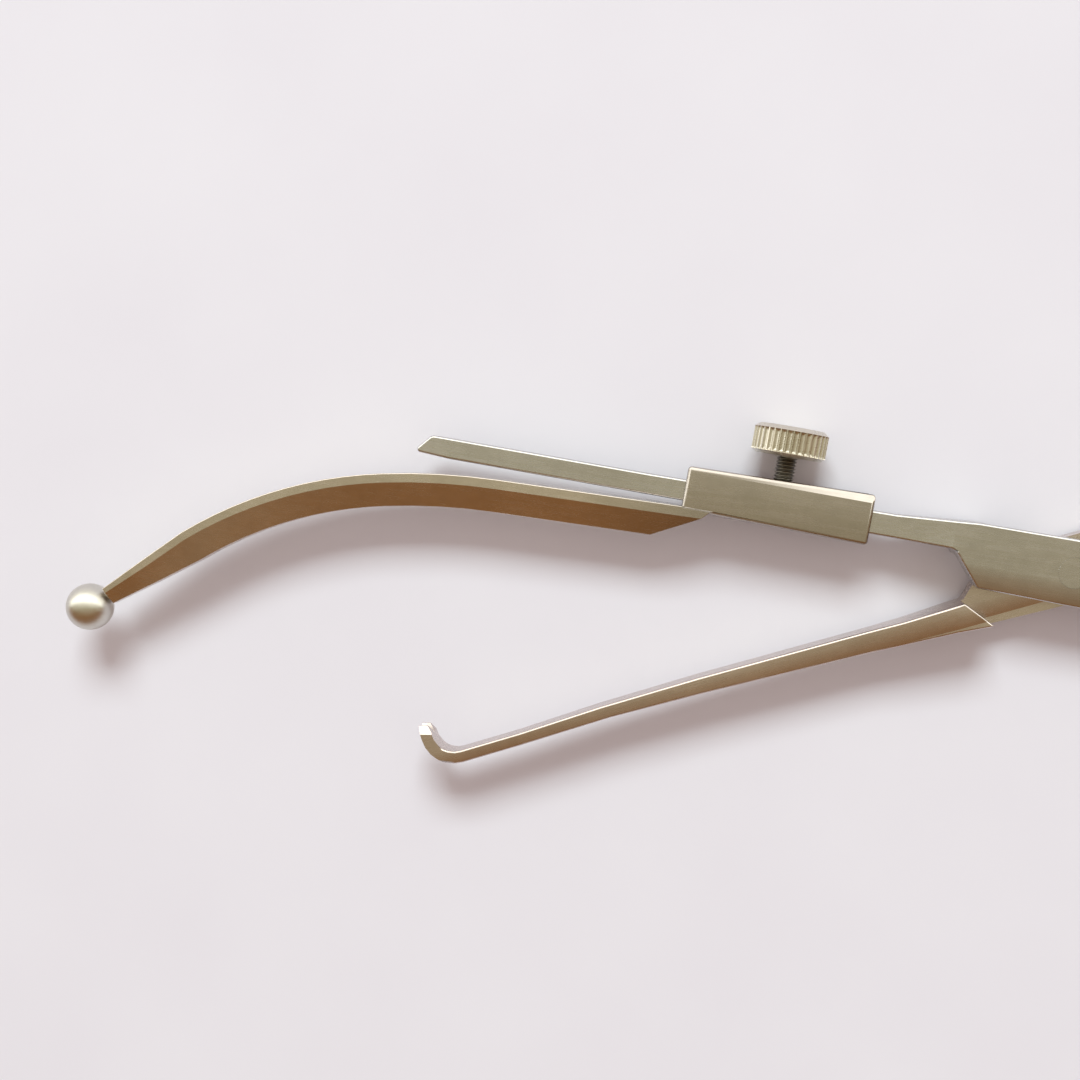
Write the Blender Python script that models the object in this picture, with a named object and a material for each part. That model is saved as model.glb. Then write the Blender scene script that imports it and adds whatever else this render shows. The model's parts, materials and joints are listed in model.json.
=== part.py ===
"""Curved-arm holding forceps with a sliding ball-tipped arm.

Two blades cross in a half-lap joint on one pivot pin. The front blade ends in a straight bar, which
carries a sleeve with the ball-tipped arm and its clamp screw. The rear blade ends in a forked claw.
All sizes are in metres. The pivot axis is Z, the jaws point to -X and the finger rings to +X.
"""

import math

import bmesh
import bpy
from mathutils import Matrix, Vector

# Overall layout
HALF_OPENING = math.radians(13.2)
LAP_THICKNESS = 0.0076
MID_PLANE = LAP_THICKNESS / 2
LAP_GAP = 0.0003
PIECE_GAP = 0.0003

# Pivot
PIN_RADIUS = 0.0022
PIN_HOLE_RADIUS = 0.00225
ROUND_SEGMENTS = 48

# Bar jaw of the front blade, in the front blade's own frame
BAR_TIP_X = -0.0976
BAR_TIP_SLOPE = 0.0024
BAR_LOW_Y = 0.00035
BAR_HIGH_Y = 0.0034
BAR_SWELL_X = -0.0620
BAR_ROOT_X = -0.0258
BAR_ROOT_HIGH_Y = 0.0038
BAR_HALF_DEPTH = 0.0020
BODY_END_X = -0.0175

# Claw jaw of the rear blade, in the rear blade's own frame
CLAW_TIP_X = -0.0985
CLAW_TIP_Y = 0.0039
CLAW_HEEL_Y = -0.0032
CLAW_INNER_Y = -0.0013
CLAW_WIDTH = 0.0017
CLAW_HALF_DEPTH = 0.00215
CLAW_OUTER_RADIUS = 0.0050
CLAW_INNER_RADIUS = 0.0034
CLAW_NOTCH_WIDTH = 0.0017
CLAW_NOTCH_DEPTH = 0.0013
CLAW_FACET_DEPTH = 0.0006
CLAW_FACET_LENGTH = 0.0009
CLAW_FACET_SLOPE = 0.0005

# Depth of the rear arm
ARM_RISE = 0.0003
REAR_BODY_END_X = -0.0175

# Lap joint
SHOULDER_NEAR = Vector((-0.0162, 0.0004))
SHOULDER_FAR = Vector((-0.0126, -0.0045))
SHOULDER_OVERRUN = 0.0110

# Handles
SHANK_HALF_DEPTH = 0.0022
SHANK_END_X = 0.0980
RING_CENTRE_X = 0.1050
RING_CENTRE_Y = 0.0090
RING_RADIUS_X = 0.0155
RING_RADIUS_Y = 0.0125
RING_HALF_WIDTH = 0.0025
RING_HALF_DEPTH = 0.0024

# Ratchet
RATCHET_X = 0.0790
RATCHET_WIDTH = 0.0060
RATCHET_TIP_Y = 0.0110
RATCHET_ROOT_Y = 0.00008
RATCHET_TEETH = 4
TOOTH_PITCH = 0.0016
TOOTH_DEPTH = 0.0007

# Sliding sleeve
SLEEVE_LEFT_X = -0.0568
SLEEVE_RIGHT_X = -0.0294
SLEEVE_LOW_Y = -0.00085
SLEEVE_HIGH_Y = 0.0055
SLEEVE_SPREAD = 0.0005
SLEEVE_HALF_DEPTH = 0.0033
SLEEVE_ROUNDING = 0.0005
CHANNEL_CLEARANCE = 0.00015

# Ball-tipped arm
ARM_START = Vector((-0.0510, -0.00272))
ARM_START_HEADING = math.radians(2.0)
ARM_STRAIGHT = 0.0332
ARM_SEAT_LENGTH = 0.0070
ARM_ARCS = ((0.0985, 9.9), (0.0639, 28.3))
ARM_TAPER_START = 0.0830
ARM_WIDTH = 0.0050
ARM_END_WIDTH = 0.0027
ARM_STRIP = 0.00145
ARM_END_STRIP = 0.0008
ARM_HALF_DEPTH = SLEEVE_HALF_DEPTH
ARM_END_HALF_DEPTH = 0.0020
KEEL_HALF_DEPTH = 0.0015
KEEL_END_HALF_DEPTH = 0.0011
HEEL_LOW = Vector((-0.0599, -0.00515))
HEEL_HIGH = Vector((-0.0518, -0.00085))
BALL_CENTRE = Vector((-0.14395, -0.03195))
BALL_RADIUS = 0.0036

# Clamp screw
SCREW_X = -0.0428
STEM_RADIUS = 0.0015
STEM_HOLE_RADIUS = 0.0017
PAD_RADIUS = 0.0014
PAD_LOW_Y = BAR_ROOT_HIGH_Y + PIECE_GAP / 2
PAD_HIGH_Y = PAD_LOW_Y + 0.0009
STEM_LOW_Y = PAD_HIGH_Y + PIECE_GAP
HEAD_LOW_Y = 0.00915
HEAD_HIGH_Y = 0.0137
HEAD_RADIUS = 0.00545
HEAD_CHAMFER = 0.0006
HEAD_BORE_DEPTH = 0.0031

CUT_MARGIN = 0.0010


def clear_scene():
    """Removes everything that the file opened with."""
    for obj in list(bpy.data.objects):
        bpy.data.objects.remove(obj)


def steel(name, colour, roughness):
    """A satin steel material."""
    material = bpy.data.materials.new(name)
    material.use_nodes = True
    shader = material.node_tree.nodes["Principled BSDF"]
    shader.inputs["Base Color"].default_value = (*colour, 1.0)
    shader.inputs["Metallic"].default_value = 1.0
    shader.inputs["Roughness"].default_value = roughness
    return material


def frame_empty(name, angle, parent=None, location=(0.0, 0.0, 0.0)):
    """An empty that holds the local frame of one group of pieces."""
    empty = bpy.data.objects.new(name, None)
    bpy.context.scene.collection.objects.link(empty)
    empty.rotation_euler = angle
    empty.location = location
    empty.parent = parent
    return empty


def mesh_object(name, bm, parent, material=None):
    """Turns a bmesh into a smooth-shaded object under its frame."""
    bmesh.ops.recalc_face_normals(bm, faces=bm.faces)
    mesh = bpy.data.meshes.new(name)
    bm.to_mesh(mesh)
    bm.free()
    mesh.shade_smooth()
    mesh.set_sharp_from_angle(angle=math.radians(30))
    obj = bpy.data.objects.new(name, mesh)
    bpy.context.scene.collection.objects.link(obj)
    obj.parent = parent
    if material:
        mesh.materials.append(material)
    return obj


def as_cutter(obj):
    """Marks an object as a tool shape, which isn't part of the model."""
    obj.hide_render = True
    obj.display_type = "WIRE"
    return obj


def boolean(obj, cutter, operation="DIFFERENCE"):
    """Cuts, joins or intersects one object with a tool shape."""
    modifier = obj.modifiers.new(operation.title(), "BOOLEAN")
    modifier.operation = operation
    modifier.solver = "EXACT"
    modifier.object = as_cutter(cutter)


def round_edges(obj, width, segments=2):
    """Rounds every edge sharper than 30 degrees."""
    modifier = obj.modifiers.new("Edge rounding", "BEVEL")
    modifier.width = width
    modifier.segments = segments
    modifier.limit_method = "ANGLE"
    modifier.angle_limit = math.radians(30)


def rounded_outline(corners, steps=6):
    """Points of a closed outline; a corner (x, y, radius) becomes an arc that meets both sides."""
    points = []
    count = len(corners)
    for index, corner in enumerate(corners):
        here = Vector(corner[:2])
        if len(corner) == 2:
            points.append(here)
            continue
        back = (Vector(corners[index - 1][:2]) - here).normalized()
        ahead = (Vector(corners[(index + 1) % count][:2]) - here).normalized()
        half_angle = back.angle(ahead) / 2
        reach = corner[2] / math.tan(half_angle)
        centre = here + (back + ahead).normalized() * corner[2] / math.sin(half_angle)
        first = here + back * reach - centre
        turn = first.angle_signed(here + ahead * reach - centre)
        for step in range(steps + 1):
            points.append(centre + Matrix.Rotation(-turn * step / steps, 2) @ first)
    return points


def prism(name, outline, low, high, parent, material=None):
    """A plate with the given XY outline between two heights."""
    bm = bmesh.new()
    face = bm.faces.new([bm.verts.new((point[0], point[1], low)) for point in outline])
    raised = bmesh.ops.extrude_face_region(bm, geom=[face])
    verts = [item for item in raised["geom"] if isinstance(item, bmesh.types.BMVert)]
    bmesh.ops.translate(bm, verts=verts, vec=(0.0, 0.0, high - low))
    return mesh_object(name, bm, parent, material)


def side_prism(name, profile, half_width, parent):
    """A slab with the given XZ profile, running across from -half_width to +half_width."""
    bm = bmesh.new()
    face = bm.faces.new([bm.verts.new((point[0], -half_width, point[1])) for point in profile])
    raised = bmesh.ops.extrude_face_region(bm, geom=[face])
    verts = [item for item in raised["geom"] if isinstance(item, bmesh.types.BMVert)]
    bmesh.ops.translate(bm, verts=verts, vec=(0.0, 2 * half_width, 0.0))
    return mesh_object(name, bm, parent)


def turned(name, profile, parent, material=None, segments=ROUND_SEGMENTS):
    """A turned piece about local Z, from (radius, height) points; the ends close on the axis."""
    bm = bmesh.new()
    rings = []
    for radius, height in profile:
        if radius == 0.0:
            rings.append([bm.verts.new((0.0, 0.0, height))])
            continue
        ring = []
        for step in range(segments):
            angle = 2 * math.pi * step / segments
            ring.append(bm.verts.new((radius * math.cos(angle), radius * math.sin(angle), height)))
        rings.append(ring)
    for lower, upper in zip(rings, rings[1:]):
        for step in range(segments):
            after = (step + 1) % segments
            corners = [lower[step % len(lower)], lower[after % len(lower)]]
            corners += [upper[after % len(upper)], upper[step % len(upper)]]
            bm.faces.new(list(dict.fromkeys(corners)))
    return mesh_object(name, bm, parent, material)


def disc(name, radius, low, high, parent, material=None):
    """A plain round bar or plate about local Z."""
    return turned(name, [(0.0, low), (radius, low), (radius, high), (0.0, high)], parent, material)


def loft(name, sections, parent, material=None, closed=False):
    """A skin through equal loops of points, capped at both ends or joined end to end."""
    bm = bmesh.new()
    loops = [[bm.verts.new(point) for point in section] for section in sections]
    pairs = list(zip(loops, loops[1:]))
    if closed:
        pairs.append((loops[-1], loops[0]))
    for first, second in pairs:
        for index in range(len(first)):
            after = (index + 1) % len(first)
            bm.faces.new((first[index], first[after], second[after], second[index]))
    if not closed:
        bm.faces.new(loops[0])
        bm.faces.new(loops[-1])
    return mesh_object(name, bm, parent, material)


def finger_ring(name, side, parent):
    """An oval ring of rounded section; side is -1 below the blade's line and +1 above it."""
    path_steps = 56
    section_steps = 16
    sections = []
    for step in range(path_steps):
        angle = 2 * math.pi * step / path_steps
        outward = Vector((math.cos(angle) / RING_RADIUS_X, math.sin(angle) / RING_RADIUS_Y)).normalized()
        centre = Vector((RING_RADIUS_X * math.cos(angle), RING_RADIUS_Y * math.sin(angle)))
        centre += Vector((RING_CENTRE_X, side * RING_CENTRE_Y))
        loop = []
        for turn in range(section_steps):
            around = 2 * math.pi * turn / section_steps
            offset = outward * RING_HALF_WIDTH * math.cos(around)
            height = MID_PLANE + RING_HALF_DEPTH * math.sin(around)
            loop.append((centre.x + offset.x, centre.y + offset.y, height))
        sections.append(loop)
    return loft(name, sections, parent, closed=True)


def shank_profile():
    """The XZ outline of a handle's upper edge, from the lap joint to the ring."""
    return [(0.0200, LAP_THICKNESS), (0.0420, MID_PLANE + SHANK_HALF_DEPTH)]


def blade_profile(jaw_points):
    """A blade's closed XZ outline, symmetric about the mid-plane."""
    top = jaw_points + shank_profile() + [(SHANK_END_X, MID_PLANE + SHANK_HALF_DEPTH)]
    bottom = [(x, LAP_THICKNESS - z) for x, z in reversed(top)]
    return top + bottom


def shoulder_cutter(name, side, low, high, parent):
    """The slanted recess that takes the other blade; side is -1 or +1 as the joint is mirrored."""
    along = (SHOULDER_FAR - SHOULDER_NEAR).normalized() * SHOULDER_OVERRUN
    corners = [SHOULDER_NEAR - along, SHOULDER_FAR + along]
    corners += [-corner for corner in corners]
    outline = [(corner.x, side * corner.y) for corner in corners]
    return prism(name, outline, low, high, parent)


def handle_outline(side):
    """The inner and outer edges of a handle's shank, flaring where they run into the finger ring."""
    inner = [(0.0190, side * 0.0009, 0.0025), (0.0500, side * 0.0008), (0.0890, side * 0.0002, 0.0150)]
    inner += [(0.0975, side * -0.0030), (0.0925, side * 0.0030), (0.0905, side * 0.0080)]
    outer = [(0.0900, side * 0.0130), (0.0875, side * 0.0056, 0.0065), (0.0500, side * 0.0050)]
    outer.append((0.0150, side * 0.0049))
    return inner, outer


def front_outline():
    """The front blade's XY outline: slanted bar tip, bar, lap body and shank."""
    inner, outer = handle_outline(-1)
    jaw = [
        (BAR_TIP_X + BAR_TIP_SLOPE, BAR_HIGH_Y, 0.0012),
        (BAR_TIP_X, BAR_LOW_Y + 0.0003, 0.0005),
        (-0.0920, BAR_LOW_Y),
        (BAR_ROOT_X, BAR_LOW_Y),
        (-0.0171, BAR_LOW_Y, 0.0015),
        (-0.0130, -0.0046, 0.0006),
    ]
    handle = list(reversed(outer)) + list(reversed(inner))
    body_top = [(0.0139, 0.0041, 0.0008), (0.0, 0.0048), (-0.0143, 0.0047)]
    bar_top = [(BAR_ROOT_X, BAR_ROOT_HIGH_Y), (BAR_SWELL_X, BAR_HIGH_Y)]
    return rounded_outline(jaw + [(0.0, -0.0048)] + handle + body_top + bar_top)


def rear_outline():
    """The rear blade's XY outline: hooked claw, tapering arm, lap body and shank."""
    inner, outer = handle_outline(1)
    arm_low = [(-0.0845, -0.00295), (-0.0700, -0.0025), (-0.0560, -0.0027)]
    arm_low += [(-0.0340, -0.0034), (-0.0180, -0.0039), (-0.0125, -0.0044)]
    body_low = [(0.0, -0.0048), (0.0115, -0.0048, 0.0010), (0.0140, -0.00235)]
    body_high = [(0.0, 0.0048), (-0.0106, 0.0048, 0.0010), (-0.0130, 0.00235)]
    arm_high = [(-0.0155, 0.0, 0.0010), (-0.0250, -0.00035), (-0.0560, -0.00025)]
    arm_high += [(-0.0710, -0.0005), (-0.0840, -0.0011)]
    hook_outer = [(CLAW_TIP_X, CLAW_TIP_Y), (CLAW_TIP_X, CLAW_HEEL_Y, CLAW_OUTER_RADIUS)]
    inner_x = CLAW_TIP_X + CLAW_WIDTH
    hook_inner = [(inner_x, CLAW_INNER_Y, CLAW_INNER_RADIUS), (inner_x, CLAW_TIP_Y - 0.0014)]
    hook_inner.append((inner_x - 0.0004, CLAW_TIP_Y - 0.0003, 0.0004))
    outline = hook_outer + arm_low + body_low + inner + outer + body_high + arm_high + hook_inner
    return rounded_outline(outline)


def make_front_blade(parent, material):
    """Bar jaw, upper half of the lap joint, shank and finger ring, forged as one piece."""
    outline = front_outline()
    blade = prism("front_blade", outline, -CUT_MARGIN, LAP_THICKNESS + CUT_MARGIN, parent, material)
    bar_top = MID_PLANE + BAR_HALF_DEPTH
    jaw = [(BAR_TIP_X - CUT_MARGIN, bar_top), (BAR_ROOT_X, bar_top), (BODY_END_X, LAP_THICKNESS)]
    boolean(blade, side_prism("front_depth", blade_profile(jaw), 0.03, parent), "INTERSECT")
    recess_top = MID_PLANE + LAP_GAP / 2
    boolean(blade, shoulder_cutter("front_recess", -1, -2 * CUT_MARGIN, recess_top, parent))
    boolean(blade, finger_ring("front_ring", -1, parent), "UNION")
    hole = disc("front_pin_hole", PIN_HOLE_RADIUS, -CUT_MARGIN, LAP_THICKNESS + CUT_MARGIN, parent)
    boolean(blade, hole)
    return blade


def make_rear_blade(parent, material):
    """Forked claw, arm, lower half of the lap joint, shank and finger ring, forged as one piece."""
    outline = rear_outline()
    blade = prism("rear_blade", outline, -CUT_MARGIN, LAP_THICKNESS + CUT_MARGIN, parent, material)
    claw_top = MID_PLANE + CLAW_HALF_DEPTH
    jaw = [(CLAW_TIP_X - CUT_MARGIN, claw_top), (-0.0900, claw_top)]
    jaw += [(-0.0300, claw_top + ARM_RISE), (REAR_BODY_END_X, LAP_THICKNESS)]
    boolean(blade, side_prism("rear_depth", blade_profile(jaw), 0.03, parent), "INTERSECT")
    recess_low = MID_PLANE - LAP_GAP / 2
    recess_high = LAP_THICKNESS + 2 * CUT_MARGIN
    boolean(blade, shoulder_cutter("rear_recess", 1, recess_low, recess_high, parent))
    boolean(blade, finger_ring("rear_ring", 1, parent), "UNION")
    hole = disc("rear_pin_hole", PIN_HOLE_RADIUS, -CUT_MARGIN, LAP_THICKNESS + CUT_MARGIN, parent)
    boolean(blade, hole)
    boolean(blade, claw_notch(parent))
    for side in (1, -1):
        boolean(blade, claw_facet(side, parent))
    return blade


def claw_notch(parent):
    """The V cut that forks the claw's tip into two prongs."""
    bm = bmesh.new()
    top = CLAW_TIP_Y + CUT_MARGIN
    low = CLAW_TIP_Y - CLAW_NOTCH_DEPTH - 0.0004
    slope = CLAW_NOTCH_WIDTH / 2 / CLAW_NOTCH_DEPTH
    half = slope * (top - low)
    corners = [(low, MID_PLANE), (top, MID_PLANE + half), (top, MID_PLANE - half)]
    face = bm.faces.new([bm.verts.new((CLAW_TIP_X - CUT_MARGIN, y, z)) for y, z in corners])
    raised = bmesh.ops.extrude_face_region(bm, geom=[face])
    verts = [item for item in raised["geom"] if isinstance(item, bmesh.types.BMVert)]
    bmesh.ops.translate(bm, verts=verts, vec=(0.005, 0.0, 0.0))
    return mesh_object("claw_notch", bm, parent)


def claw_facet(side, parent):
    """The slanted facet on one face of the claw's tip; side is +1 on the upper face, -1 on the lower."""
    bm = bmesh.new()
    face_z = MID_PLANE + side * CLAW_HALF_DEPTH
    deep_z = face_z - side * CLAW_FACET_DEPTH
    proud_z = face_z + side * CUT_MARGIN
    start = CLAW_TIP_Y - CLAW_FACET_LENGTH
    past = CLAW_TIP_Y + CUT_MARGIN
    steep = CLAW_FACET_DEPTH / CLAW_FACET_LENGTH
    profile = [(start, face_z), (past, deep_z - side * steep * CUT_MARGIN), (past, proud_z)]
    profile.append((start - CUT_MARGIN / 4, proud_z))
    left = CLAW_TIP_X - CUT_MARGIN
    face = bm.faces.new([bm.verts.new((left, y, z)) for y, z in profile])
    raised = bmesh.ops.extrude_face_region(bm, geom=[face])
    verts = [item for item in raised["geom"] if isinstance(item, bmesh.types.BMVert)]
    width = 4 * CUT_MARGIN
    slide = -CLAW_FACET_SLOPE * width / CLAW_WIDTH
    bmesh.ops.translate(bm, verts=verts, vec=(width, slide, 0.0))
    return mesh_object(f"claw_facet_{side}", bm, parent)


def make_ratchet(name, side, parent, material):
    """A toothed tongue that reaches from one shank to the other; side is the blade's handle side."""
    low = MID_PLANE + LAP_GAP / 2
    high = MID_PLANE + SHANK_HALF_DEPTH
    if side > 0:
        low, high = LAP_THICKNESS - high, LAP_THICKNESS - low
    root = side * RATCHET_ROOT_Y
    tip = -side * RATCHET_TIP_Y
    left = RATCHET_X - RATCHET_WIDTH / 2
    right = RATCHET_X + RATCHET_WIDTH / 2
    corners = [(left, root), (right, root), (right, tip, 0.0015), (left, tip, 0.0015)]
    tongue = prism(name, rounded_outline(corners), low, high, parent, material)
    face = low if side < 0 else high
    inward = 1 if side < 0 else -1
    for tooth in range(RATCHET_TEETH):
        start = tip + side * (0.0010 + tooth * TOOTH_PITCH)
        groove = [(start, face - inward * CUT_MARGIN), (start, face + inward * TOOTH_DEPTH)]
        groove.append((start + side * TOOTH_PITCH * 0.8, face - inward * CUT_MARGIN * 0.2))
        groove.append((start + side * TOOTH_PITCH * 0.8, face - inward * CUT_MARGIN))
        bm = bmesh.new()
        loop = bm.faces.new([bm.verts.new((left - CUT_MARGIN, y, z)) for y, z in groove])
        raised = bmesh.ops.extrude_face_region(bm, geom=[loop])
        verts = [item for item in raised["geom"] if isinstance(item, bmesh.types.BMVert)]
        bmesh.ops.translate(bm, verts=verts, vec=(RATCHET_WIDTH + 2 * CUT_MARGIN, 0.0, 0.0))
        boolean(tongue, mesh_object(f"{name}_groove_{tooth}", bm, parent))
    return tongue


def make_sleeve(parent, material):
    """The sleeve, slightly taller at its right end, with a channel for the bar and a screw hole."""
    corners = [
        (SLEEVE_LEFT_X, SLEEVE_LOW_Y),
        (SLEEVE_RIGHT_X, SLEEVE_LOW_Y - SLEEVE_SPREAD),
        (SLEEVE_RIGHT_X, SLEEVE_HIGH_Y + SLEEVE_SPREAD),
        (SLEEVE_LEFT_X, SLEEVE_HIGH_Y),
    ]
    low = MID_PLANE - SLEEVE_HALF_DEPTH
    high = MID_PLANE + SLEEVE_HALF_DEPTH
    sleeve = prism("slider_sleeve", corners, low, high, parent, material)
    round_edges(sleeve, SLEEVE_ROUNDING, 3)
    channel = [
        (SLEEVE_LEFT_X - CUT_MARGIN, BAR_LOW_Y - CHANNEL_CLEARANCE),
        (SLEEVE_RIGHT_X + CUT_MARGIN, BAR_LOW_Y - CHANNEL_CLEARANCE),
        (SLEEVE_RIGHT_X + CUT_MARGIN, BAR_ROOT_HIGH_Y + CHANNEL_CLEARANCE),
        (SLEEVE_LEFT_X - CUT_MARGIN, BAR_ROOT_HIGH_Y + CHANNEL_CLEARANCE),
    ]
    half_channel = BAR_HALF_DEPTH + CHANNEL_CLEARANCE
    boolean(sleeve, prism("channel", channel, MID_PLANE - half_channel, MID_PLANE + half_channel, parent))
    hole_top = SLEEVE_HIGH_Y + SLEEVE_SPREAD + CUT_MARGIN
    hole = disc("screw_hole", STEM_HOLE_RADIUS, BAR_HIGH_Y - 0.0005, hole_top, parent)
    stand_on_screw_axis(hole)
    boolean(sleeve, hole)
    return sleeve


def stand_on_screw_axis(obj):
    """Turns a piece made about Z so that its axis is the clamp screw's, which runs along +Y."""
    obj.location = (SCREW_X, 0.0, MID_PLANE)
    obj.rotation_euler = (-math.pi / 2, 0.0, 0.0)


def arm_path():
    """Stations along the arm's centre line: (distance, point, direction of travel)."""
    point = ARM_START.copy()
    heading = ARM_START_HEADING
    travelled = 0.0
    stations = []

    def direction():
        return Vector((-math.cos(heading), -math.sin(heading)))

    for _ in range(4):
        stations.append((travelled, point.copy(), direction()))
        point += direction() * ARM_STRAIGHT / 4
        travelled += ARM_STRAIGHT / 4
    for radius, degrees in ARM_ARCS:
        steps = max(2, round(degrees / 2.5))
        step_angle = math.radians(degrees) / steps
        for _ in range(steps):
            stations.append((travelled, point.copy(), direction()))
            heading += step_angle / 2
            point += direction() * 2 * radius * math.sin(step_angle / 2)
            heading += step_angle / 2
            travelled += radius * step_angle
    last = (BALL_CENTRE - point).dot(direction()) - BALL_RADIUS - PIECE_GAP
    for part in range(3):
        stations.append((travelled, point.copy(), direction()))
        point += direction() * last / 2
        travelled += last / 2
    return stations


def arm_section(distance, point, direction, length):
    """The keel-shaped section: flat back, short upright strips, then bevels to a narrow keel."""
    taper = max(0.0, (distance - ARM_TAPER_START) / (length - ARM_TAPER_START))
    along = max(0.0, (distance - ARM_SEAT_LENGTH) / (length - ARM_SEAT_LENGTH))
    half_width = (ARM_WIDTH + (ARM_END_WIDTH - ARM_WIDTH) * taper) / 2
    strip = ARM_STRIP + (ARM_END_STRIP - ARM_STRIP) * max(taper, along * along * 0.5)
    depth = ARM_HALF_DEPTH + (ARM_END_HALF_DEPTH - ARM_HALF_DEPTH) * along
    keel = KEEL_HALF_DEPTH + (KEEL_END_HALF_DEPTH - KEEL_HALF_DEPTH) * along
    outward = Vector((direction.y, -direction.x))
    levels = [(half_width, depth), (half_width - strip, depth), (-half_width, keel)]
    loop = [(level, MID_PLANE + side) for level, side in levels]
    loop += [(level, MID_PLANE - side) for level, side in reversed(levels)]
    return [(point.x + outward.x * level, point.y + outward.y * level, z) for level, z in loop]


def make_ball_arm(parent, material):
    """The curved keel-section arm, seated under the sleeve's end."""
    stations = arm_path()
    length = stations[-1][0]
    arm = loft("ball_arm", [arm_section(*station, length) for station in stations], parent, material)
    seat_x = SLEEVE_LEFT_X - PIECE_GAP
    seat_y = SLEEVE_LOW_Y - PIECE_GAP
    far_x = ARM_START.x + 2 * CUT_MARGIN
    seat = [(seat_x, seat_y), (far_x, seat_y), (far_x, 0.004), (seat_x, 0.004)]
    boolean(arm, prism("arm_seat", seat, -0.002, 0.010, parent))
    run = (HEEL_HIGH - HEEL_LOW).normalized() * 0.004
    start = HEEL_LOW - run
    end = HEEL_HIGH + run
    heel = [start, Vector((end.x, start.y)), end]
    boolean(arm, prism("arm_heel", heel, -0.002, 0.010, parent))
    return arm


def make_ball(parent, material):
    """The blunt ball on the arm's end."""
    rings = 16
    profile = []
    for step in range(rings + 1):
        angle = math.pi * step / rings
        radius = BALL_RADIUS * math.sin(angle) if 0 < step < rings else 0.0
        profile.append((radius, -BALL_RADIUS * math.cos(angle)))
    ball = turned("ball_tip", profile, parent, material, segments=32)
    ball.location = (BALL_CENTRE.x, BALL_CENTRE.y, MID_PLANE)
    return ball


def make_screw(parent, material):
    """The clamp screw: threaded stem, round head, and the pad that bears on the bar."""
    pad = disc("pressure_pad", PAD_RADIUS, PAD_LOW_Y, PAD_HIGH_Y, parent, material)
    bore_top = HEAD_LOW_Y + HEAD_BORE_DEPTH
    stem = disc("thumbscrew_stem", STEM_RADIUS, STEM_LOW_Y, bore_top - PIECE_GAP, parent, material)
    profile = [
        (0.0, HEAD_LOW_Y),
        (HEAD_RADIUS - HEAD_CHAMFER, HEAD_LOW_Y),
        (HEAD_RADIUS, HEAD_LOW_Y + HEAD_CHAMFER),
        (HEAD_RADIUS, HEAD_HIGH_Y - HEAD_CHAMFER),
        (HEAD_RADIUS - HEAD_CHAMFER, HEAD_HIGH_Y),
        (0.0, HEAD_HIGH_Y),
    ]
    head = turned("thumbscrew_head", profile, parent, material)
    bore = disc("head_bore", STEM_HOLE_RADIUS, HEAD_LOW_Y - CUT_MARGIN, bore_top, parent)
    boolean(head, bore)
    for piece in (pad, stem, head, bore):
        stand_on_screw_axis(piece)


def main():
    clear_scene()
    satin = steel("satin_steel", (0.42, 0.38, 0.33), 0.32)
    polished = steel("polished_steel", (0.55, 0.52, 0.48), 0.18)
    front = frame_empty("front_frame", (0.0, 0.0, -HALF_OPENING))
    rear = frame_empty("rear_frame", (0.0, 0.0, HALF_OPENING))
    slider = frame_empty("slider_frame", (0.0, 0.0, 0.0), parent=front)
    make_front_blade(front, satin)
    make_rear_blade(rear, satin)
    disc("pivot_pin", PIN_RADIUS, 0.0, LAP_THICKNESS, front, satin)
    make_ratchet("front_ratchet", -1, front, satin)
    make_ratchet("rear_ratchet", 1, rear, satin)
    make_sleeve(slider, satin)
    make_ball_arm(slider, satin)
    make_ball(slider, polished)
    make_screw(slider, satin)


main()
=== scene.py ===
import json
import math

import bmesh
import bpy
from mathutils import Matrix, Vector


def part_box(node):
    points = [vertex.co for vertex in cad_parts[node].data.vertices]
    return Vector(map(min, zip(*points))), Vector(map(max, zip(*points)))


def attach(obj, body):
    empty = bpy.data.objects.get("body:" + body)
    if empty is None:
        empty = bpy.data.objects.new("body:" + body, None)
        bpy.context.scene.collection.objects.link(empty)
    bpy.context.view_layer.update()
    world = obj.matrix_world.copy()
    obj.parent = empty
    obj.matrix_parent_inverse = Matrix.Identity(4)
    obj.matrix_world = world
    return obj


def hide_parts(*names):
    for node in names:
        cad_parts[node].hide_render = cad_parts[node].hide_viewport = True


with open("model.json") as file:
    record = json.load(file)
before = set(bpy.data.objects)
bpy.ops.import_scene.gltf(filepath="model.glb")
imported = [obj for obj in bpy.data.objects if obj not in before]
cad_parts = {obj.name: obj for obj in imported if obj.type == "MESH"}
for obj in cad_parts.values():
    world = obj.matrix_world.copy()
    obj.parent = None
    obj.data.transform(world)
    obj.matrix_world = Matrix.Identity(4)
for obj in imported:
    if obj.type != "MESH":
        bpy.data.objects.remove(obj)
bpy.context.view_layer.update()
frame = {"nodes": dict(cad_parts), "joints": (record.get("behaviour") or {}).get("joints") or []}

# Camera, looking down on the jaws
VIEW_CENTRE = Vector((-0.07685, 0.00847, 0.0038))
VIEW_ROLL = math.radians(-3.27)
VIEW_YAW = 0.09
VIEW_TILT = 0.063
VIEW_WIDTH = 0.162
VIEW_SHIFT = -0.03
CAMERA_DISTANCE = 0.215
SENSOR_WIDTH = 36.0

# Edges
SHARP_ANGLE = math.radians(33)
FLAT_ANGLE = math.radians(0.5)
WELD = 0.000001
EDGE = 0.00028
SMALL_EDGE = 0.00012
CLAW_SHARP = 0.0023
LAP_ZONE = 0.0012
PIN_ZONE = 0.0030
RING_START_X = 0.080

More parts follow.
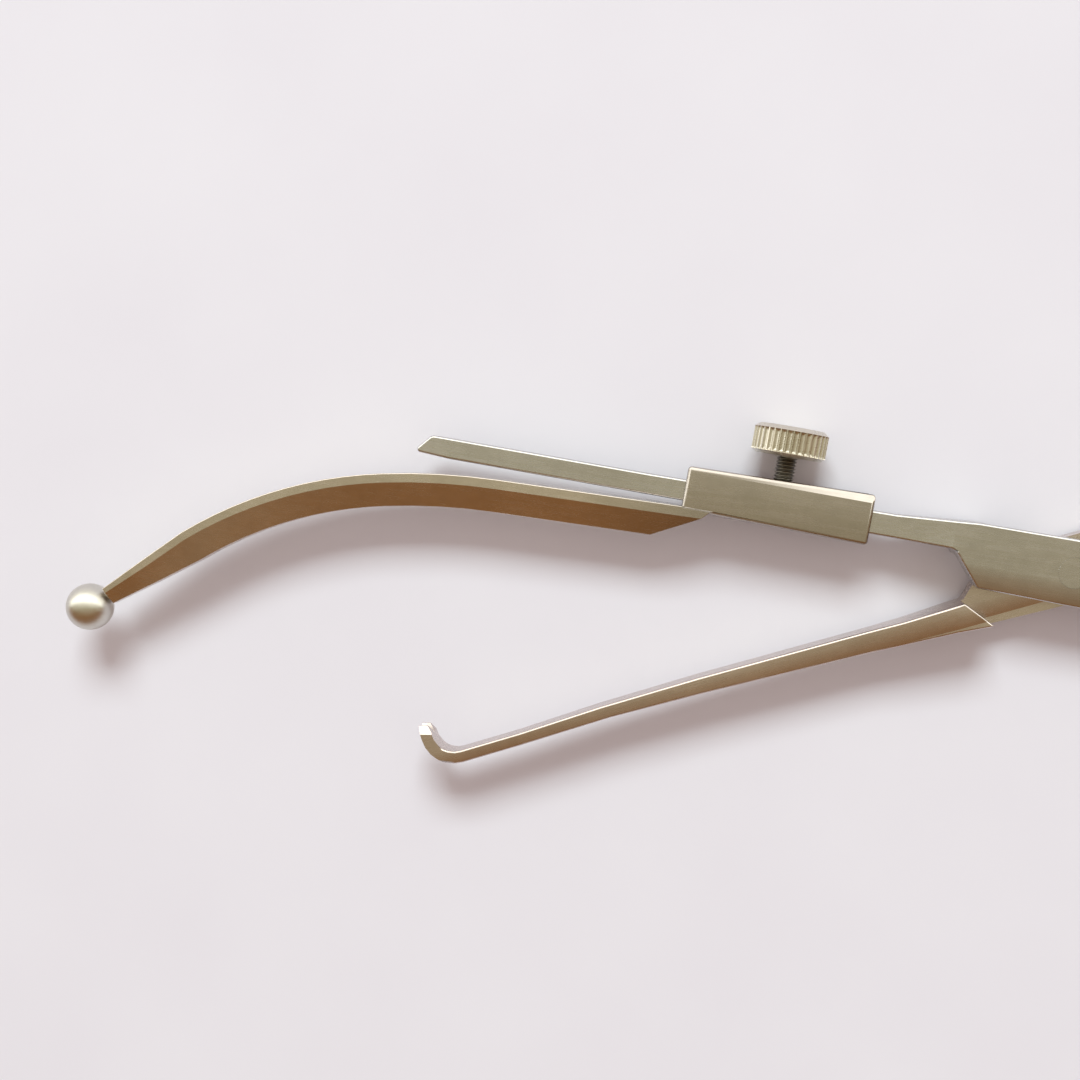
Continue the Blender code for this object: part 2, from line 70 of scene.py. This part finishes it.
# Sleeve's slanted upper bands, and the arm's seat on the sleeve
BAND_LEFT = 0.0006
BAND_RIGHT = 0.0012
BAND_TILT = math.radians(22)
SLEEVE_END = 0.001
SEAM_WELD = 0.000002
SEAT_GAP = 0.0003
SEAT_OVERLAP = 0.0006
SEAT_START = 0.0005
SEAT_END_REACH = 0.00005
SEAT_TOP_REACH = 0.00008
SEAT_TOP_DROP = 0.0001

# Ball's neck
NECK_RADIUS = 0.0009
NECK_STRAIGHT = 0.0005
NECK_LENGTH = 0.0009
NECK_TAPER = 0.9
ARM_END_DEPTH = 0.0012
BALL_STEPS = 48
BALL_SEGMENTS = 72

# Knurled head
FLUTES = 36
FLUTE_SEGMENTS = 12
FLUTE_DEPTH = 0.00032
FLUTE_SHARE = 0.40
FLUTE_END = 0.0005
FLUTE_STEPS = 26
RIM = 0.0006
RIM_BREAK = 0.0001
HUB_RADIUS = 0.0017
HUB_SLOPE = 0.0002
FACE_RECESS = 0.00015
DISH_RADIUS = 0.0026
DISH_SLOPE = 0.0003
DISH_DEPTH = 0.00025
DIMPLE_RADIUS = 0.0004
DIMPLE_START = 0.0003
DIMPLE_DEPTH = 0.00045

# Threaded stem, pad, pin and ratchets
THREAD_PITCH = 0.0005
THREAD_DEPTH = 0.00028
THREAD_STEPS = 10
CREST_SHARE = 0.10
FLANK_SHARE = 0.75
STEM_TIP = 0.0006
STEM_TIP_STEP = 0.0002
STEM_TIP_SHARE = 0.3
TURNED_SEGMENTS = 48
PAD_CROWN = ((0.0, 0.0), (0.6, 0.00003), (0.9, 0.0001), (1.0, 0.0002))
PAD_BREAK = 0.00015
PIN_FIT = 0.00004
PIN_BREAK = 0.00002
PIN_SEGMENTS = 64
ROOT_REACH = 0.00005
ROOT_OVERLAP = 0.0006

# Setting
FLOOR_CLEARANCE = 0.00002
TABLE_HALF = 1.5
TABLE_DARK = (0.790, 0.770, 0.790, 1.0)
TABLE_LIGHT = (0.815, 0.800, 0.815, 1.0)
RING_BACK = 0.018
RING_FRONT = 0.01
ROOM_LIGHT = (0.55, 0.46, 0.44)
WINDOW_COLOUR = (0.84, 0.95, 1.0)
WINDOW_POWER = 55.0
WINDOW_ANGLE = math.radians(46)
WINDOW_DISTANCE = 2.5
WINDOW_SIZE = (1.3, 0.85)

# What the steel reflects, in degrees from overhead towards the window side
TABLE_EDGE = (0.85, 0.77, 0.70)
DIM_SIDE = (0.29, 0.14, 0.05)
CEILING = (0.44, 0.35, 0.22)
OVERHEAD = (0.54, 0.50, 0.33)
WINDOW_FRAME = (0.98, 0.93, 0.76)
WINDOW_GLOW = (2.6, 2.6, 2.4)
FAR_WALL = (1.0, 0.97, 0.87)
ROOM = (
    (-95, TABLE_EDGE),
    (-80, DIM_SIDE),
    (-40, DIM_SIDE),
    (-12, CEILING),
    (0, OVERHEAD),
    (20, WINDOW_FRAME),
    (30, WINDOW_GLOW),
    (62, WINDOW_GLOW),
    (76, FAR_WALL),
)

joints = {joint["name"]: joint for joint in frame["joints"]}
mid_plane = joints["jaw_pivot"]["pos_m"][2]


def blade_frame(along, across):
    """A blade's own frame: X along it towards the rings, Y across it, Z up."""
    matrix = Matrix.Identity(4)
    matrix.col[0] = (*along, 0.0)
    matrix.col[1] = (*across, 0.0)
    return matrix


bar_axis = -Vector(joints["slider_slide"]["axis"]).normalized()
screw_axis = Vector(joints["knob_turn"]["axis"]).normalized()
FRONT = blade_frame(bar_axis, screw_axis)
REAR = blade_frame(bar_axis * Vector((1, -1, 1)), screw_axis * Vector((-1, 1, 1)))


def local_points(node, matrix):
    """A CAD node's vertices in one blade's own frame."""
    inverse = matrix.inverted()
    return [inverse @ vertex.co for vertex in frame["nodes"][node].data.vertices]


def span(points, axis):
    """The lowest and highest value of the points along one axis."""
    values = [point[axis] for point in points]
    return min(values), max(values)


# Mesh helpers


def add_object(name, bm):
    """Turns a bmesh into a smooth-shaded object."""
    mesh = bpy.data.meshes.new(name)
    bm.to_mesh(mesh)
    bm.free()
    mesh.shade_smooth()
    mesh.set_sharp_from_angle(angle=SHARP_ANGLE)
    obj = bpy.data.objects.new(name, mesh)
    bpy.context.scene.collection.objects.link(obj)
    return obj


def clean_copy(node):
    """A copy of a CAD node's mesh, welded, with its flat faces whole again."""
    bm = bmesh.new()
    bm.from_mesh(frame["nodes"][node].data)
    bmesh.ops.remove_doubles(bm, verts=bm.verts, dist=WELD)
    bmesh.ops.dissolve_limit(bm, angle_limit=FLAT_ANGLE, verts=bm.verts, edges=bm.edges)
    return bm


def weigh_edges(bm, width_at, widest):
    """Marks each sharp edge with its share of the widest rounding."""
    layer = bm.edges.layers.float.new("bevel_weight_edge")
    for edge in bm.edges:
        if len(edge.link_faces) == 2 and edge.calc_face_angle() > SHARP_ANGLE:
            middle = (edge.verts[0].co + edge.verts[1].co) / 2
            edge[layer] = width_at(middle) / widest


def round_edges(obj, width, segments=3):
    """Rounds the marked edges and keeps the flat faces looking flat."""
    bevel = obj.modifiers.new("Edge rounding", "BEVEL")
    bevel.limit_method = "WEIGHT"
    bevel.width = width
    bevel.segments = segments
    bevel.use_clamp_overlap = False
    normals = obj.modifiers.new("Face normals", "WEIGHTED_NORMAL")
    normals.keep_sharp = True


def apply_modifiers(obj):
    """Replaces the object's mesh with what its modifiers make of it."""
    graph = bpy.context.evaluated_depsgraph_get()
    mesh = bpy.data.meshes.new_from_object(obj.evaluated_get(graph))
    obj.modifiers.clear()
    obj.data = mesh


def turned(profile, segments, matrix, radius_at=None):
    """A turned bmesh about local Z from (radius, height) points; radius_at may shape it by angle."""
    bm = bmesh.new()
    rings = []
    for radius, height in profile:
        if radius == 0.0:
            rings.append([bm.verts.new((0.0, 0.0, height))])
            continue
        ring = []
        for step in range(segments):
            angle = 2 * math.pi * step / segments
            reach = radius_at(radius, height, angle) if radius_at else radius
            ring.append(bm.verts.new((reach * math.cos(angle), reach * math.sin(angle), height)))
        rings.append(ring)
    for lower, upper in zip(rings, rings[1:]):
        for step in range(segments):
            after = (step + 1) % segments
            corners = [lower[step % len(lower)], lower[after % len(lower)]]
            corners += [upper[after % len(upper)], upper[step % len(upper)]]
            bm.faces.new(list(dict.fromkeys(corners)))
    bmesh.ops.recalc_face_normals(bm, faces=bm.faces)
    bmesh.ops.transform(bm, matrix=matrix, verts=bm.verts)
    return bm


def finish_piece(obj, body, nodes, material):
    """Gives a piece its body, the CAD nodes it stands for and its material."""
    obj.data.materials.clear()
    obj.data.materials.append(material)
    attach(obj, body)
    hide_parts(*nodes)


# Materials


class Nodes:
    """A short way to add and link shader nodes."""

    def __init__(self, tree):
        self.tree = tree

    def add(self, kind, inputs=None, **settings):
        node = self.tree.nodes.new(kind)
        for key, value in settings.items():
            setattr(node, key, value)
        for key, value in (inputs or {}).items():
            if isinstance(value, bpy.types.NodeSocket):
                self.tree.links.new(value, node.inputs[key])
            else:
                node.inputs[key].default_value = value
        return node

    def link(self, output, target):
        self.tree.links.new(output, target)

    def math(self, operation, first, second):
        return self.add("ShaderNodeMath", {0: first, 1: second}, operation=operation).outputs[0]

    def mixed(self, factor, first, second):
        """A blend of two colours, each a fixed colour or an output."""
        inputs = {"Factor": factor, "A": first, "B": second}
        return self.add("ShaderNodeMix", inputs, data_type="RGBA").outputs["Result"]

    def ramp(self, value, low, high, start=0.0, end=1.0):
        """Start to end as the value goes from low to high."""
        inputs = {"Value": value, "From Min": low, "From Max": high, "To Min": start, "To Max": end}
        return self.add("ShaderNodeMapRange", inputs).outputs["Result"]

    def along(self, place, axis):
        """How far a place is along an axis."""
        inputs = {0: place, 1: tuple(axis)}
        return self.add("ShaderNodeVectorMath", inputs, operation="DOT_PRODUCT").outputs["Value"]

    def noise(self, vector, scale, detail=3.0, roughness=0.5):
        inputs = {"Vector": vector, "Scale": scale, "Detail": detail, "Roughness": roughness}
        return self.add("ShaderNodeTexNoise", inputs).outputs["Fac"]

    def spread(self, noise, low, high):
        """A noise's usual range stretched to low and high."""
        return self.ramp(noise, 0.3, 0.7, low, high)


def steel(name, colour, roughness, turn=0.0, grain=1.0, crown=None, groove_shade=0.0, shade_ramp=None):
    """Satin steel: cloudy colour and gloss, fine grain, and brush lines along the piece.

    turn is the brush lines' angle about Z. crown is (axis, start, end, drop): the face falls away by
    drop between two places across the piece. The grooves' share is painted shade: the colour darkens
    by that share at the bottoms of grooves, where ambient occlusion finds a hollow. The ramp along the
    piece, (axis, start, end, share), is painted shade too: the colour goes down to that share between
    two places along the piece."""
    material = bpy.data.materials.new(name)
    material.use_nodes = True
    nodes = Nodes(material.node_tree)
    shader = material.node_tree.nodes["Principled BSDF"]
    place = nodes.add("ShaderNodeTexCoord").outputs["Object"]
    turned_place = {"Vector": place, "Rotation": (0.0, 0.0, -turn)}
    brushed = nodes.add("ShaderNodeMapping", turned_place).outputs[0]
    drawn_out = {"Vector": brushed, "Scale": (0.06, 1.0, 1.0)}
    stretched = nodes.add("ShaderNodeMapping", drawn_out).outputs[0]
    clouds = nodes.noise(place, 90.0, 4.0)
    lines = nodes.noise(stretched, 2600.0, 3.0, 0.6)
    fine = nodes.noise(place, 5200.0, 2.0, 0.6)
    spots = nodes.noise(place, 700.0, 3.0)

    large = nodes.math("MULTIPLY", clouds, 0.6)
    small = nodes.math("MULTIPLY", spots, 0.4)
    tone = nodes.spread(nodes.math("ADD", large, small), 0.0, 1.0)
    dark = [value * 0.90 for value in colour]
    light = [min(1.0, value * 1.07) for value in colour]
    result = nodes.mixed(tone, (*dark, 1.0), (*light, 1.0))
    # Painted shade: ambient occlusion darkens the colour at the bottoms of grooves.
    if groove_shade:
        hollow = nodes.add("ShaderNodeAmbientOcclusion", {"Distance": 0.0006}, samples=6).outputs["AO"]
        groove_shade_colour = [value * (1.0 - groove_shade) for value in colour]
        result = nodes.mixed(nodes.ramp(hollow, 0.25, 0.85), (*groove_shade_colour, 1.0), result)
    # Painted shade: the colour is scaled down between two places along the piece.
    if shade_ramp:
        axis, start, end, least = shade_ramp
        level = nodes.ramp(nodes.along(place, axis), start, end, 1.0, least)
        shaded_colour = nodes.add("ShaderNodeVectorMath", {0: result, "Scale": level}, operation="SCALE")
        result = shaded_colour.outputs["Vector"]
    nodes.link(result, shader.inputs["Base Color"])

    patches = nodes.spread(clouds, -0.035, 0.035)
    streaks = nodes.spread(lines, roughness - 0.05, roughness + 0.05)
    nodes.link(nodes.math("ADD", patches, streaks), shader.inputs["Roughness"])
    shader.inputs["Metallic"].default_value = 1.0

    pits = nodes.math("MULTIPLY", fine, 0.0000035 * grain)
    scratches = nodes.math("MULTIPLY", lines, 0.000003 * grain)
    relief = nodes.math("ADD", pits, scratches)
    if crown:
        axis, start, end, drop = crown
        share = nodes.ramp(nodes.along(place, axis), start, end)
        fall = nodes.math("MULTIPLY", nodes.math("POWER", share, 2.0), drop)
        relief = nodes.math("SUBTRACT", relief, fall)
    bump = nodes.add("ShaderNodeBump", {"Height": relief, "Distance": 1.0, "Strength": 1.0})
    nodes.link(bump.outputs["Normal"], shader.inputs["Normal"])
    return material


# Pieces


def make_blade(node, name, body, matrix, material, sharp_length):
    """A forged blade with the outlines of its outer faces rounded, except a short stretch at its tip."""
    inverse = matrix.inverted()
    sharp_end = span(local_points(node, matrix), 0)[0] + sharp_length

    def width_at(middle):
        here = inverse @ middle
        beyond = here.x > RING_START_X or here.x < sharp_end
        near_pin = math.hypot(here.x, here.y) < PIN_ZONE
        near_lap = abs(here.z - mid_plane) < LAP_ZONE
        return 0.0 if beyond or near_pin or near_lap else EDGE

    bm = clean_copy(node)
    weigh_edges(bm, width_at, EDGE)
    blade = add_object(name, bm)
    round_edges(blade, EDGE)
    finish_piece(blade, body, [node], material)


def make_sleeve(material):
    """The sleeve and the arm brazed to it, as one skin, with the sleeve's slanted upper bands."""
    points = local_points("slider_sleeve", FRONT)
    left, right = span(points, 0)
    low_z, high_z = span(points, 2)
    left_top = span([point for point in points if point.x < left + SLEEVE_END], 1)[1]
    right_top = span([point for point in points if point.x > right - SLEEVE_END], 1)[1]
    bm = clean_copy("slider_sleeve")
    bmesh.ops.transform(bm, matrix=FRONT.inverted(), verts=bm.verts)
    for face_z, side in ((high_z, 1.0), (low_z, -1.0)):
        start = Vector((left, left_top - BAND_LEFT, face_z))
        end = Vector((right, right_top - BAND_RIGHT, face_z))
        fall = Vector((0.0, math.cos(BAND_TILT), -side * math.sin(BAND_TILT)))
        normal = (end - start).cross(fall).normalized() * side
        geometry = list(bm.verts) + list(bm.edges) + list(bm.faces)
        cut = bmesh.ops.bisect_plane(
            bm, geom=geometry, plane_co=start, plane_no=normal, clear_outer=True
        )
        rim = [item for item in cut["geom_cut"] if isinstance(item, bmesh.types.BMEdge)]
        bmesh.ops.edgeloop_fill(bm, edges=rim)
    bmesh.ops.recalc_face_normals(bm, faces=bm.faces)
    bmesh.ops.transform(bm, matrix=FRONT, verts=bm.verts)
    sleeve = add_object("sleeve_and_arm", bm)
    arm = add_object("arm_blank", seated_arm(left))
    union = sleeve.modifiers.new("Brazed seam", "BOOLEAN")
    union.operation = "UNION"
    union.object = arm
    apply_modifiers(sleeve)
    bpy.data.objects.remove(arm)
    bm = bmesh.new()
    bm.from_mesh(sleeve.data)
    bmesh.ops.remove_doubles(bm, verts=bm.verts, dist=SEAM_WELD)
    bmesh.ops.dissolve_limit(bm, angle_limit=FLAT_ANGLE, verts=bm.verts, edges=bm.edges)
    weigh_edges(bm, lambda middle: SMALL_EDGE, SMALL_EDGE)
    bpy.data.objects.remove(sleeve)
    sleeve = add_object("sleeve_and_arm", bm)
    round_edges(sleeve, SMALL_EDGE)
    finish_piece(sleeve, "slider", ["slider_sleeve", "ball_arm"], material)


def seated_arm(sleeve_left):
    """The ball-tipped arm, with its seat carried on into the sleeve's wall."""
    bm = clean_copy("ball_arm")
    bmesh.ops.transform(bm, matrix=FRONT.inverted(), verts=bm.verts)
    seat = [vertex for vertex in bm.verts if vertex.co.x > sleeve_left - SEAT_START]
    top = max(vertex.co.y for vertex in seat if vertex.co.x > sleeve_left + SLEEVE_END)
    for vertex in seat:
        at_end = abs(vertex.co.x - (sleeve_left - SEAT_GAP)) < SEAT_END_REACH
        if at_end and vertex.co.y > top - SEAT_TOP_DROP:
            vertex.co.x += SEAT_OVERLAP
        past_end = vertex.co.x > sleeve_left - SEAT_GAP - SEAT_TOP_DROP
        if past_end and abs(vertex.co.y - top) < SEAT_TOP_REACH:
            vertex.co.y += SEAT_OVERLAP
    bmesh.ops.transform(bm, matrix=FRONT, verts=bm.verts)
    return bm


def make_ball(material):
    """The blunt ball and the short neck that joins it to the arm."""
    low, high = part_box("ball_tip")
    centre = (low + high) / 2
    radius = (high.z - low.z) / 2
    arm = [vertex.co for vertex in frame["nodes"]["ball_arm"].data.vertices]
    reach = min((co - centre).length for co in arm)
    ends = [co for co in arm if (co - centre).length < reach + ARM_END_DEPTH]
    direction = (sum(ends, Vector()) / len(ends) - centre).normalized()
    sweep = math.pi - math.asin(NECK_RADIUS / radius)
    profile = [(0.0, -radius)]
    for step in range(1, BALL_STEPS + 1):
        angle = sweep * step / BALL_STEPS
        profile.append((radius * math.sin(angle), -radius * math.cos(angle)))
    neck_end = radius + NECK_LENGTH
    profile += [(NECK_RADIUS, radius + NECK_STRAIGHT)]
    profile += [(NECK_RADIUS * NECK_TAPER, neck_end), (0.0, neck_end)]
    stand = Matrix.Translation(centre) @ direction.to_track_quat("Z", "Y").to_matrix().to_4x4()
    ball = add_object("ball_and_neck", turned(profile, BALL_SEGMENTS, stand))
    finish_piece(ball, "slider", ["ball_tip"], material)


def screw_stand(height):
    """Places a piece turned about Z on the clamp screw's axis, at a height above the bar's line."""
    origin = Vector(joints["knob_turn"]["pos_m"]) + screw_axis * height
    return Matrix.Translation(origin) @ screw_axis.to_track_quat("Z", "Y").to_matrix().to_4x4()


def screw_span(node):
    """The lowest and highest place of a node along the clamp screw's axis."""
    return span(local_points(node, FRONT), 1)


def screw_size(node):
    """A turned node's lowest place along the screw's axis, its length and its outer radius."""
    low, high = screw_span(node)
    return low, high - low, span(local_points(node, FRONT), 2)[1] - mid_plane


def make_head(material):
    """The knurled head: round-bottomed flutes with arched ends between two chamfered rims."""
    low, tall, outer = screw_size("thumbscrew_head")
    fluted_height = tall - 2 * RIM
    profile = [(0.0, 0.0), (HUB_RADIUS, 0.0), (HUB_RADIUS + HUB_SLOPE, FACE_RECESS)]
    profile += [(outer - RIM - RIM_BREAK, FACE_RECESS), (outer - RIM, FACE_RECESS + RIM_BREAK / 2)]
    for step in range(FLUTE_STEPS + 1):
        profile.append((outer, RIM + fluted_height * step / FLUTE_STEPS))
    profile += [(outer - RIM, tall - RIM_BREAK), (outer - RIM - 2 * RIM_BREAK, tall)]
    profile += [(DISH_RADIUS, tall), (DISH_RADIUS - DISH_SLOPE, tall - DISH_DEPTH)]
    profile += [(DIMPLE_RADIUS, tall - DIMPLE_START), (0.0, tall - DIMPLE_DEPTH)]

    def fluted(radius, height, angle):
        if radius < outer - WELD:
            return radius
        phase = (angle * FLUTES / (2 * math.pi)) % 1.0 - 0.5
        across = min(1.0, abs(phase) / FLUTE_SHARE)
        groove = math.sqrt(1.0 - across * across)
        end = min(1.0, min(height - RIM, tall - RIM - height) / FLUTE_END)
        arch = math.sqrt(max(0.0, 1.0 - (1.0 - end) ** 2))
        return radius - FLUTE_DEPTH * min(groove, arch)

    segments = FLUTES * FLUTE_SEGMENTS
    head = add_object("knurled_head", turned(profile, segments, screw_stand(low), fluted))
    finish_piece(head, "clamp_knob", ["thumbscrew_head"], material)


def make_stem(material):
    """The threaded stem, with a tapered tip that bears on the pad."""
    low, tall, outer = screw_size("thumbscrew_stem")
    steps = round(tall / THREAD_PITCH * THREAD_STEPS)
    start = STEM_TIP * STEM_TIP_SHARE
    profile = [(0.0, 0.0), (outer - THREAD_DEPTH - STEM_TIP_STEP, 0.0)]
    for step in range(steps + 1):
        profile.append((outer, start + (tall - start) * step / steps))
    profile.append((0.0, tall))

    def threaded(radius, height, angle):
        if radius < outer - WELD:
            return radius
        phase = (height / THREAD_PITCH - angle / (2 * math.pi)) % 1.0
        ridge = 1.0 - abs(2.0 * phase - 1.0)
        flank = min(1.0, max(0.0, (ridge - CREST_SHARE) / FLANK_SHARE))
        taper = max(0.0, 1.0 - height / STEM_TIP)
        return radius - THREAD_DEPTH * max(1.0 - flank, taper)

    stem = add_object("threaded_stem", turned(profile, TURNED_SEGMENTS, screw_stand(low), threaded))
    finish_piece(stem, "clamp_knob", ["thumbscrew_stem"], material)


def make_pad(material):
    """The pressure pad, a small disc with a crowned working face."""
    low, tall, outer = screw_size("pressure_pad")
    profile = [(outer * share, rise) for share, rise in PAD_CROWN]
    profile += [(outer, tall - PAD_BREAK), (outer - PAD_BREAK, tall), (0.0, tall)]
    pad = add_object("bearing_pad", turned(profile, TURNED_SEGMENTS, screw_stand(low)))
    finish_piece(pad, "clamp_pad", ["pressure_pad"], material)


def make_pin(material):
    """The flush pivot pin, peened into its hole, with a fine turned edge."""
    low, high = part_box("pivot_pin")
    radius = (high.x - low.x) / 2 + PIN_FIT
    tall = high.z - low.z
    profile = [(0.0, 0.0), (radius - PIN_BREAK, 0.0), (radius, PIN_BREAK)]
    profile += [(radius, tall - PIN_BREAK), (radius - PIN_BREAK, tall), (0.0, tall)]
    pin = add_object("flush_pin", turned(profile, PIN_SEGMENTS, Matrix.Identity(4)))
    finish_piece(pin, "front_half", ["pivot_pin"], material)


def make_ratchet(node, name, body, matrix, side, material):
    """A ratchet tongue with softened teeth, its root carried into the shank."""
    bm = clean_copy(node)
    bmesh.ops.transform(bm, matrix=matrix.inverted(), verts=bm.verts)
    root = max(side * vertex.co.y for vertex in bm.verts)
    for vertex in bm.verts:
        if abs(side * vertex.co.y - root) < ROOT_REACH:
            vertex.co.y += side * ROOT_OVERLAP
    bmesh.ops.transform(bm, matrix=matrix, verts=bm.verts)
    weigh_edges(bm, lambda middle: SMALL_EDGE, SMALL_EDGE)
    ratchet = add_object(name, bm)
    round_edges(ratchet, SMALL_EDGE, 2)
    finish_piece(ratchet, body, [node], material)


# Setting

image_up = Matrix.Rotation(VIEW_ROLL, 3, "Z") @ Vector((0.0, 1.0, 0.0))


def make_camera():
    """The camera above the jaws, turned and tilted a little."""
    camera = bpy.data.objects.new("camera", bpy.data.cameras.new("camera"))
    bpy.context.scene.collection.objects.link(camera)
    camera.data.sensor_width = SENSOR_WIDTH
    camera.data.lens = SENSOR_WIDTH * CAMERA_DISTANCE / VIEW_WIDTH
    camera.data.shift_x = VIEW_SHIFT
    camera.data.clip_start = 0.01
    turn = Matrix.Rotation(VIEW_ROLL, 4, "Z") @ Matrix.Rotation(VIEW_YAW, 4, "Y")
    turn = turn @ Matrix.Rotation(-VIEW_TILT, 4, "X")
    stand = Matrix.Translation((-VIEW_SHIFT * VIEW_WIDTH, 0.0, CAMERA_DISTANCE))
    camera.matrix_world = Matrix.Translation(VIEW_CENTRE) @ turn @ stand
    bpy.context.scene.camera = camera


def make_world():
    """A soft room: a wide window on one side, a dim warm room on the other."""
    world = bpy.data.worlds.new("studio")
    bpy.context.scene.world = world
    world.use_nodes = True
    nodes = Nodes(world.node_tree)
    background = world.node_tree.nodes["Background"]
    ray = nodes.add("ShaderNodeTexCoord").outputs["Generated"]
    height = nodes.add("ShaderNodeSeparateXYZ", {0: ray}).outputs["Z"]
    angle = nodes.math("ARCTAN2", nodes.along(ray, image_up), height)
    share = nodes.math("ADD", nodes.math("DIVIDE", angle, 2 * math.pi), 0.5)
    ramp = nodes.add("ShaderNodeValToRGB", {"Fac": share})
    stops = ramp.color_ramp.elements
    while len(stops) > 1:
        stops.remove(stops[-1])
    for index, (degrees, colour) in enumerate(ROOM):
        place = degrees / 360 + 0.5
        stop = stops[0] if index == 0 else stops.new(place)
        stop.position = place
        stop.color = (*colour, 1.0)
    mirrored = nodes.add("ShaderNodeLightPath").outputs["Is Glossy Ray"]
    shown = nodes.mixed(mirrored, (*ROOM_LIGHT, 1.0), ramp.outputs["Color"])
    nodes.link(shown, background.inputs["Color"])


def make_window():
    """A soft panel on the window side, aimed at the jaws. The world shows its reflection."""
    data = bpy.data.lights.new("window", "AREA")
    data.shape = "RECTANGLE"
    data.size, data.size_y = WINDOW_SIZE
    data.energy = WINDOW_POWER
    data.color = WINDOW_COLOUR
    light = bpy.data.objects.new("window", data)
    bpy.context.scene.collection.objects.link(light)
    up = Vector((0.0, 0.0, 1.0))
    direction = image_up * math.sin(WINDOW_ANGLE) + up * math.cos(WINDOW_ANGLE)
    light.location = VIEW_CENTRE + direction * WINDOW_DISTANCE
    light.rotation_mode = "QUATERNION"
    light.rotation_quaternion = direction.to_track_quat("Z", "Y")
    light.visible_glossy = False


def make_floor():
    """A pale table that the clamp screw's head and the finger rings rest on."""
    head_low, head_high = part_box("thumbscrew_head")
    head_x = (head_low.x + head_high.x) / 2
    ring_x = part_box("front_blade")[1].x - RING_BACK
    blade = [vertex.co for vertex in frame["nodes"]["front_blade"].data.vertices]
    ring_z = min(co.z for co in blade if co.x > ring_x - RING_FRONT)
    rise = math.atan2(ring_z - head_low.z, ring_x - head_x)
    bm = bmesh.new()
    bmesh.ops.create_grid(bm, x_segments=8, y_segments=8, size=TABLE_HALF)
    floor = add_object("table", bm)
    floor.rotation_euler = (0.0, -rise, 0.0)
    floor.location = (head_x, 0.0, head_low.z - FLOOR_CLEARANCE)
    material = bpy.data.materials.new("pale_table")
    material.use_nodes = True
    nodes = Nodes(material.node_tree)
    shader = material.node_tree.nodes["Principled BSDF"]
    place = nodes.add("ShaderNodeTexCoord").outputs["Object"]
    tone = nodes.spread(nodes.noise(place, 24.0, 4.0), 0.0, 1.0)
    nodes.link(nodes.mixed(tone, TABLE_DARK, TABLE_LIGHT), shader.inputs["Base Color"])
    shader.inputs["Roughness"].default_value = 0.6
    shader.inputs["Specular IOR Level"].default_value = 0.2
    floor.data.materials.append(material)


def main():
    """Makes the materials, the pieces and the setting."""
    tilt = math.atan2(bar_axis.y, bar_axis.x)
    pale = (0.57, 0.56, 0.56)
    front_crown = (screw_axis, -0.0012, -0.0046, 0.00040)
    rear_crown = (REAR.col[1].to_3d(), -0.0008, -0.0034, 0.00032)
    # Painted shade: the arm and the sleeve darken along the bar towards the sleeve.
    sleeve_painted_shade = (bar_axis, -0.072, -0.055, 0.68)
    front = steel("front_satin", pale, 0.27, tilt, crown=front_crown)
    rear = steel("rear_satin", (0.63, 0.56, 0.53), 0.27, -tilt, crown=rear_crown)
    sleeve = steel("sleeve_satin", (0.66, 0.60, 0.55), 0.26, tilt, grain=0.5, shade_ramp=sleeve_painted_shade)
    ball = steel("ball_polish", (0.64, 0.62, 0.57), 0.36)
    screw = steel("turned_steel", (0.68, 0.64, 0.56), 0.28, grain=0.6, groove_shade=0.7)
    # A darker copy of the turned steel: painted shade on the threaded stem beneath the head.
    shaded_thread = steel("thread_steel_shade", (0.26, 0.24, 0.21), 0.34, grain=0.6, groove_shade=0.6)
    pin = steel("pin_satin", pale, 0.27, tilt)
    make_blade("front_blade", "front_half_forging", "front_half", FRONT, front, 0.0)
    make_blade("rear_blade", "rear_half_forging", "rear_half", REAR, rear, CLAW_SHARP)
    make_sleeve(sleeve)
    make_ball(ball)
    make_head(screw)
    make_stem(shaded_thread)
    make_pad(screw)
    make_pin(pin)
    make_ratchet("front_ratchet", "front_tongue", "front_half", FRONT, -1, front)
    make_ratchet("rear_ratchet", "rear_tongue", "rear_half", REAR, 1, rear)
    make_camera()
    make_world()
    make_window()
    make_floor()
    bpy.context.scene.view_settings.view_transform = "Standard"


main()
